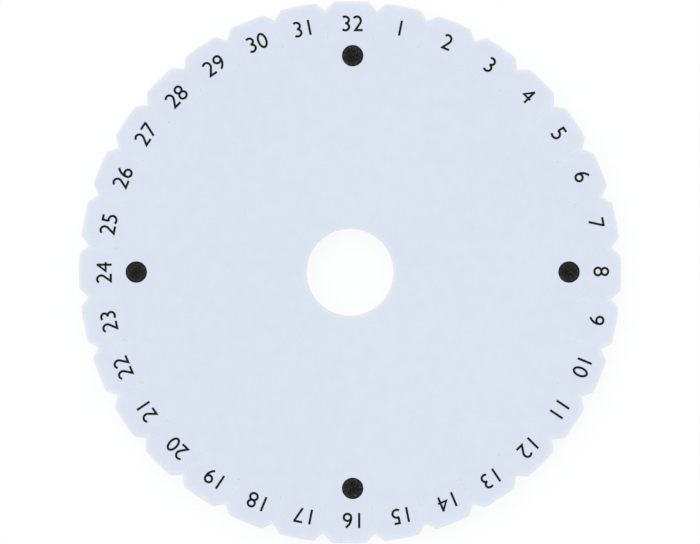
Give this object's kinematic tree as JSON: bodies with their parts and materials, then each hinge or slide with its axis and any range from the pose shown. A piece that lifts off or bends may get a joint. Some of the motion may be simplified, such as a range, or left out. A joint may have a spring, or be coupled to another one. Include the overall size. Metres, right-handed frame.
{
  "type": "kumihimo disk",
  "caption": "Round foam braiding disk with a centre hole, notched thread slits around the rim, numbered tabs and printed dots.",
  "frame": {"origin": "centre of the underside, on the axis of the centre hole", "axes": "+Z along the disk's axis, out of the printed face; +Y through the tab numbered 32 at the top of the print; +X through the tab numbered 8"},
  "size_m": [0.15, 0.15, 0.01],
  "materials": {
    "foam": "matt closed-cell foam, pale lavender blue",
    "ink": "matt black printing ink"
  },
  "bodies": {
    "root": {"foam_disk": "foam", "dot_mark_top": "ink", "dot_mark_right": "ink", "dot_mark_bottom": "ink", "dot_mark_left": "ink"}
  },
  "joints": []
}
